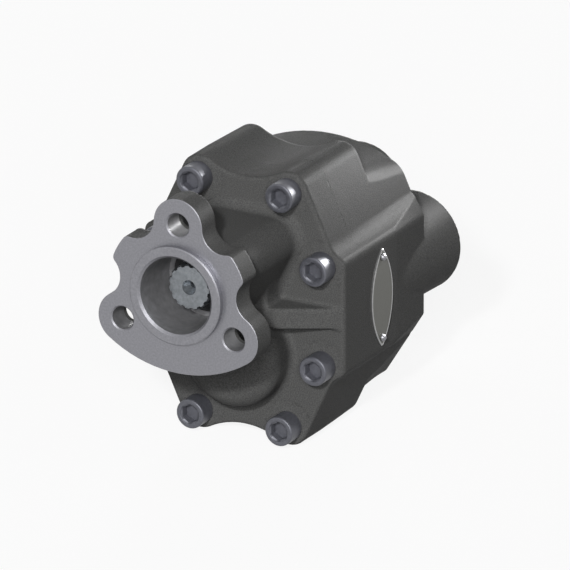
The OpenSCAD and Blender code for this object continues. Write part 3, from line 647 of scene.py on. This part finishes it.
def body_field(x, y, z):
    """Distance to the pump body: the lobed length, the block lofted between two outlines, and
    four bosses, less the gear chamber, the bearings, the oil passages and the ports. Draft
    narrows the slanted sides towards the rear and the port bosses towards the front."""
    level = z + DROP
    outer = outline_distance(body_outline, np.abs(x), np.abs(level))
    share = np.clip((np.abs(level) - DRAFT_BEGINS) / (DRAFT_FULL - DRAFT_BEGINS), 0, 1)
    outer = outer + SLANT_DRAFT * (y - COVER_BACK) * share
    lobed = shared(outer, y - LOBED_END, LOBED_ROUND)
    t = (y - BLOCK_START) / (BLOCK_END - BLOCK_START)
    block = (outline_distance(block_front, np.abs(x), level) * (1 - t)
             + outline_distance(block_rear, np.abs(x), level) * t)
    block = shared(np.maximum(block, outer), y - BLOCK_END, 0.8)
    cast = np.minimum(lobed, np.maximum(block, BLOCK_START - 2 - y))
    around = np.hypot(np.abs(x) - PORT_X, level)
    port_end, shaft_end = BOSS_ENDS
    ports = shared(around - (PORT_R - PORT_DRAFT * (port_end - y)), y - port_end, 1.5)
    shafts = np.hypot(x, np.abs(level) - SHAFT_BOSS_LIFT) - SHAFT_BOSS_R
    shafts = shared(shafts, y - shaft_end, 1.5)
    cast = joined(cast, np.maximum(ports, LOBED_END - y), 0.5)
    cast = joined(cast, np.maximum(shafts, LOBED_END - y), 4)
    axes = np.minimum(np.hypot(x, z), np.hypot(x, z + SHAFTS_APART))
    for r, end in GEAR_BORES:
        cast = np.maximum(cast, -np.maximum(axes - r, y - end))
    beside = np.abs(x) - PASSAGE_X
    passage = np.maximum(np.hypot(beside, level) - PASSAGE_R,
                         np.maximum(PASSAGE_START - y, y - PASSAGE_END))
    slot = np.maximum(np.maximum(beside, np.abs(level) - SLOT_HALF_H),
                      np.maximum(PASSAGE_START - y, y - SLOT_END))
    mouth = (around - (PORT_MOUTH_R + y - port_end)) * sqrt(0.5)
    port = np.maximum(np.minimum(around - PORT_HOLE_R, mouth), port_end - PORT_DEEP - y)
    threads = np.minimum.reduce([np.hypot(x - sx, z - sz) for sx, sz in screws]) - THREAD_R
    for hollow in (passage, slot, port, np.maximum(threads, y - THREAD_END)):
        cast = np.maximum(cast, -hollow)
    for at in DOWELS:
        cast = np.maximum(cast, -rod(x, y, z, at, DOWEL_R, 90, PIN_END))
    return np.maximum(cast, COVER_BACK - y)


body_axes = [across_axis, np.arange(100.4, 225, CELL), level_axis]
vertices, quads = skin(body_field, body_axes)
middle = vertices[quads].mean(axis=1)
from_port = np.hypot(np.abs(middle[:, 0]) - PORT_X, middle[:, 2] + DROP)
port_face = ((np.abs(middle[:, 1] - BOSS_ENDS[0]) < HAIR) & (from_port < PORT_R - 1)
             | (middle[:, 1] > 190) & (from_port < PORT_MOUTH_R + 0.4))
joint = vertices[quads][:, :, 1].max(axis=1) < COVER_BACK + HAIR
body = build("pump_body_casting", within("pump_body", vertices), quads, [sand_cast, milled],
             port_face | joint)
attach(body, "pump_body")
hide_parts("pump_body")

# The eight screws are M12 socket-head screws of zinc-flake coated steel. Each is turned from
# one profile, whose inner part changes from round to six-sided in the socket.
HEAD_R = 9.0
HEAD_H = 12.0
HEAD_ROUND = 1.1
SOCKET_W = 10.0
SOCKET_DEEP = 6.0
SCREW_R = 5.9
SCREW_L = 55.0


def coated_steel():
    """Zinc-flake coating on steel: a bluish satin grey with a soft mottle of about 1.7 mm."""
    material, shader = blank("steel_zinc_flake")
    place = add(material, "ShaderNodeTexCoord").outputs["Object"]
    mottle = add(material, "ShaderNodeTexNoise", {"Vector": place, "Scale": 600.0, "Detail": 2.0})
    colour = add(material, "ShaderNodeValToRGB", {"Fac": mottle.outputs["Fac"]})
    colour.color_ramp.elements[0].position = 0.3
    colour.color_ramp.elements[0].color = srgb("#54555b")
    colour.color_ramp.elements[1].position = 0.7
    colour.color_ramp.elements[1].color = srgb("#5e5f66")
    rough = add(material, "ShaderNodeMapRange", {0: mottle.outputs["Fac"], 1: 0.3, 2: 0.7,
                                                 3: 0.4, 4: 0.5})
    for name, socket in (("Base Color", colour.outputs[0]), ("Roughness", rough.outputs[0])):
        material.node_tree.links.new(socket, shader.inputs[name])
    shader.inputs["Metallic"].default_value = 0.4
    return material


def screw_surface():
    """One screw: rings r(s, a), y(s) for places s along the profile and angles a round it.
    In the socket r is half the width over cos of the angle from the nearest flat's middle."""
    a = np.radians(np.arange(0, 360, 5.0))
    edge = arc((HEAD_R - HEAD_ROUND, -HEAD_H + HEAD_ROUND), HEAD_ROUND, 0, -90, 18)
    lip = arc((SOCKET_W / 2 + 1.5, -HEAD_H + 0.35), 0.35, -90, -180, 30)
    round_part = [(0.01, SCREW_L), (5.0, SCREW_L), (SCREW_R, SCREW_L - 0.9), (SCREW_R, 1.2), (6.6, 0.0),
                  (HEAD_R - 0.3, 0.0), (HEAD_R, -0.3), (HEAD_R, -HEAD_H + 1.2), *edge, *lip]
    r = np.array([p[0] for p in round_part])[:, None] * np.ones_like(a)
    y = [p[1] for p in round_part]
    hexagon = SOCKET_W / 2 / np.cos((a + radians(30)) % radians(60) - radians(30))
    floor = -HEAD_H + SOCKET_DEEP
    r = np.concatenate([r, hexagon[None] + 0.25, hexagon[None], hexagon[None], hexagon[None] * 0.999,
                        0.01 * np.ones_like(a)[None]])
    y = np.array(y + [-HEAD_H + 0.75, -HEAD_H + 1.1, floor, floor, floor + 0.4])
    x = r * np.cos(a)
    z = r * np.sin(a)
    return np.stack([x, np.broadcast_to(y[:, None], x.shape), z], 2)


def tube_faces(rows, columns):
    """Quads between neighbouring rings, each ring closed on itself, and both ends capped."""
    i, j = np.meshgrid(np.arange(rows - 1), np.arange(columns), indexing="ij")
    after = (j + 1) % columns
    quads = np.stack([i * columns + j, i * columns + after, (i + 1) * columns + after,
                      (i + 1) * columns + j], 2).reshape(-1, 4)
    ends = [list(range(columns))[::-1], list(range((rows - 1) * columns, rows * columns))]
    return quads.tolist() + ends


one = screw_surface()
rows, columns = one.shape[:2]
one_faces = tube_faces(rows, columns)
points = np.concatenate([one.reshape(-1, 3) + (sx, COVER_FRONT, sz) for sx, sz in screws])
faces = [[v + k * rows * columns for v in face] for k in range(len(screws)) for face in one_faces]
screw_piece = build("cover_screws_finished", points, faces, [coated_steel()], sharp=40)
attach(screw_piece, "pump_body")
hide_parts("cover_screws")


# The nameplate is a lens of dark anodised aluminium with round tips and a raised rim, which is
# lighter both as bare metal and as a painted highlight, and bare. Two steel rivets with domed
# heads hold it to the body's right-hand side.
def satin_metal(name, dark, light, rough_low, rough_high, scale, metallic=0.9):
    """A finish with a fine mottle in colour and gloss, whose spots are about 1000 / scale mm."""
    material, shader = blank(name)
    place = add(material, "ShaderNodeTexCoord").outputs["Object"]
    mottle = add(material, "ShaderNodeTexNoise", {"Vector": place, "Scale": scale, "Detail": 3.0})
    colour = add(material, "ShaderNodeValToRGB", {"Fac": mottle.outputs["Fac"]})
    colour.color_ramp.elements[0].position = 0.3
    colour.color_ramp.elements[0].color = srgb(dark)
    colour.color_ramp.elements[1].position = 0.7
    colour.color_ramp.elements[1].color = srgb(light)
    rough = add(material, "ShaderNodeMapRange", {0: mottle.outputs["Fac"], 1: 0.3, 2: 0.7,
                                                 3: rough_low, 4: rough_high})
    for socket_name, socket in (("Base Color", colour.outputs[0]), ("Roughness", rough.outputs[0])):
        material.node_tree.links.new(socket, shader.inputs[socket_name])
    shader.inputs["Metallic"].default_value = metallic
    return material


PLATE_HALF_W = 12.5
PLATE_T = 1.2
PLATE_Y = 20.0
TIP_AT = 28.0
TIP_R = 2.0
# Dark anodising leaves a matt greenish grey face that looks painted.
anodised = satin_metal("aluminium_anodised_dark", "#46463f", "#50504a", 0.4, 0.5, 700.0, 0)
# The stamped edge and the raised rim are bare metal. Their colour is also made lighter than the face as a
# painted highlight along the rim.
bare_edge_and_highlight = satin_metal("aluminium_bare_rim_painted_highlight", "#8c8c8c", "#9c9c9c", 0.3, 0.4, 700.0)
side_r = (PLATE_HALF_W ** 2 + TIP_AT ** 2 - TIP_R ** 2) / 2 / (PLATE_HALF_W - TIP_R)
side_at = side_r - PLATE_HALF_W
lean = degrees(atan2(TIP_AT, side_at))
lens = np.concatenate([
    arc((-side_at, 0), side_r, -lean, lean)[:-1], arc((0, TIP_AT), TIP_R, lean, 180 - lean, 15)[:-1],
    arc((side_at, 0), side_r, 180 - lean, 180 + lean)[:-1],
    arc((0, -TIP_AT), TIP_R, 180 + lean, 360 - lean, 15)[:-1]])
points, quads = swept(lens, [(0, 0), (0, PLATE_T - 0.3), (0.3, PLATE_T), (0.9, PLATE_T),
                             (1.15, PLATE_T - 0.15)])
points = points[:, [1, 0, 2]] + (SIDE_CORNER[0] + SIDE_CORNER[2], COVER_BACK + PLATE_Y, -DROP)
around_lens = [list(range(len(lens)))]
plate = closed_piece("nameplate_lens", [
    (points, quads, 1), (points[:len(lens)], around_lens, 1),
    (points[-len(lens):], around_lens, 0)], [anodised, bare_edge_and_highlight])
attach(plate, "pump_body")
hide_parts("nameplate")

# The gear shafts are case-hardened steel, ground on journals and splines. They and the pieces
# held inside keep the shapes of the frame. Like pieces share one finish, named by the first.
FINISHES = {
    # Hardened and ground: a cool mid grey with a soft shine.
    "drive_gear_shaft": satin_metal("steel_case_hardened", "#787c80", "#8e9296", 0.3, 0.4, 500.0),
    # Plated by the drum: dull silver that catches small lights.
    "nameplate_rivets": satin_metal("steel_plated_rivet", "#77777a", "#88888c", 0.4, 0.5, 800.0),
    # Ground to size: the brightest of the steels.
    "dowel_pins": satin_metal("steel_ground", "#8c8c92", "#a6a6aa", 0.2, 0.3, 800.0),
    # Bearing bronze, faced in a lathe: warm and fairly bright.
    "front_pressure_plate": satin_metal("bronze_machined", "#8a6a38", "#b08a50", 0.3, 0.42, 500.0),
    # Bronze strip rolled into a bush: the same colour, a little duller.
    "front_drive_bush": satin_metal("bronze_rolled", "#86673a", "#a88450", 0.34, 0.46, 400.0),
    # Nitrile rubber from a mould: black and matt.
    "front_plate_seal": satin_metal("nitrile_rubber_moulded", "#141416", "#1e1e20", 0.55, 0.7, 900.0, 0),
    # Acetal from a mould: creamy white with a waxy sheen.
    "front_plate_backup": satin_metal("acetal_moulded", "#c8c4b4", "#d6d2c4", 0.45, 0.55, 500.0, 0),
    # Drawn spring wire: mid grey with a clean shine.
    "outer_garter_spring": satin_metal("spring_wire_drawn", "#75757a", "#8c8c90", 0.26, 0.36, 900.0),
}
SAME = {
    "drive_gear_shaft": ["driven_gear_shaft"],
    "dowel_pins": ["seal_spacer"],
    "front_pressure_plate": ["rear_pressure_plate"],
    "front_drive_bush": ["front_driven_bush", "rear_drive_bush", "rear_driven_bush"],
    "front_plate_seal": ["rear_plate_seal", "outer_shaft_seal", "inner_shaft_seal", "body_seal"],
    "front_plate_backup": ["rear_plate_backup"],
    "outer_garter_spring": ["inner_garter_spring", "seal_snap_ring"],
}
for first, finish in FINISHES.items():
    for node in [first, *SAME.get(first, [])]:
        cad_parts[node].data.materials.clear()
        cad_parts[node].data.materials.append(finish)

# The pump lies on a white studio floor, under a key light from above the camera's left, a broad
# fill light from the camera, a low light from behind on the left, a small lamp behind the ports
# that only adds gloss, and an even sky. What the camera and mirror-like faces see of floor and
# sky is white, and the floor keeps a faint shadow.
FLOOR_GLOW = 0.88
FLOOR_HALF = 3000.0
SKY = 0.09
LAMPS_ROUND = Vector((0.055, 0.17, 0.015))
floor_z = cad_box[0][2] * 1000 - 0.02


def seen_rays(owner):
    """A socket that is 1 for camera, glossy and transmission rays and 0 for all others."""
    rays = add(owner, "ShaderNodeLightPath")
    eye = add(owner, "ShaderNodeMath", {0: rays.outputs["Is Camera Ray"],
                                        1: rays.outputs["Is Glossy Ray"]}, operation="MAXIMUM")
    return add(owner, "ShaderNodeMath", {0: eye.outputs[0], 1: rays.outputs["Is Transmission Ray"]},
               operation="MAXIMUM").outputs[0]


floor_paint = bpy.data.materials.new("studio_floor_matt_paint")
floor_paint.use_nodes = True
floor_paint.node_tree.nodes.clear()
dull = add(floor_paint, "ShaderNodeBsdfDiffuse", {"Color": srgb("#606060")})
pale = add(floor_paint, "ShaderNodeBsdfDiffuse", {"Color": srgb("#646464")})
glow = add(floor_paint, "ShaderNodeEmission", {"Color": (1, 1, 1, 1), "Strength": FLOOR_GLOW})
white = add(floor_paint, "ShaderNodeAddShader", {0: pale.outputs[0], 1: glow.outputs[0]})
paint = add(floor_paint, "ShaderNodeMixShader", {0: seen_rays(floor_paint), 1: dull.outputs[0],
                                                 2: white.outputs[0]})
add(floor_paint, "ShaderNodeOutputMaterial", {"Surface": paint.outputs[0]})
floor = build("studio_floor", [(x * FLOOR_HALF, y * FLOOR_HALF, floor_z) for x, y in (
    (-1, -1), (1, -1), (1, 1), (-1, 1))], [(0, 1, 2, 3)], [floor_paint])


def lamp(kind, towards, strength, size, far=1.0):
    """A lamp towards a direction from the pump's rear: a sun, whose size is an angle in degrees,
    or a round area lamp, whose size is its diameter and far its distance, in metres."""
    data = bpy.data.lights.new("lamp_" + kind.lower(), kind)
    data.energy = strength
    turned = Vector(towards).to_track_quat("Z", "Y").to_matrix().to_4x4()
    if kind == "SUN":
        data.angle = radians(size)
    else:
        data.shape = "DISK"
        data.size = size
    made = bpy.data.objects.new(data.name, data)
    made.matrix_world = Matrix.Translation(Vector(towards).normalized() * far + LAMPS_ROUND) @ turned
    made.visible_camera = False
    bpy.context.scene.collection.objects.link(made)
    return made


lamp("SUN", (0.28, -0.83, 0.48), 1.9, 4)
lamp("SUN", (0.456, -0.818, 0.352), 1.85, 20)
lamp("SUN", (-0.35, 0.93, 0.1), 1.2, 20)
rim = lamp("AREA", (0.3, 0.85, 0.42), 2.6, 0.07, 0.15)
rim.visible_diffuse = False
world = bpy.data.worlds.new("studio")
bpy.context.scene.world = world
world.use_nodes = True
world.node_tree.nodes.clear()
sky = add(world, "ShaderNodeBackground", {"Color": (1, 1, 1, 1), "Strength": SKY})
white = add(world, "ShaderNodeBackground", {"Color": (1, 1, 1, 1), "Strength": 1.0})
both = add(world, "ShaderNodeMixShader", {0: seen_rays(world), 1: sky.outputs[0], 2: white.outputs[0]})
add(world, "ShaderNodeOutputWorld", {"Surface": both.outputs[0]})
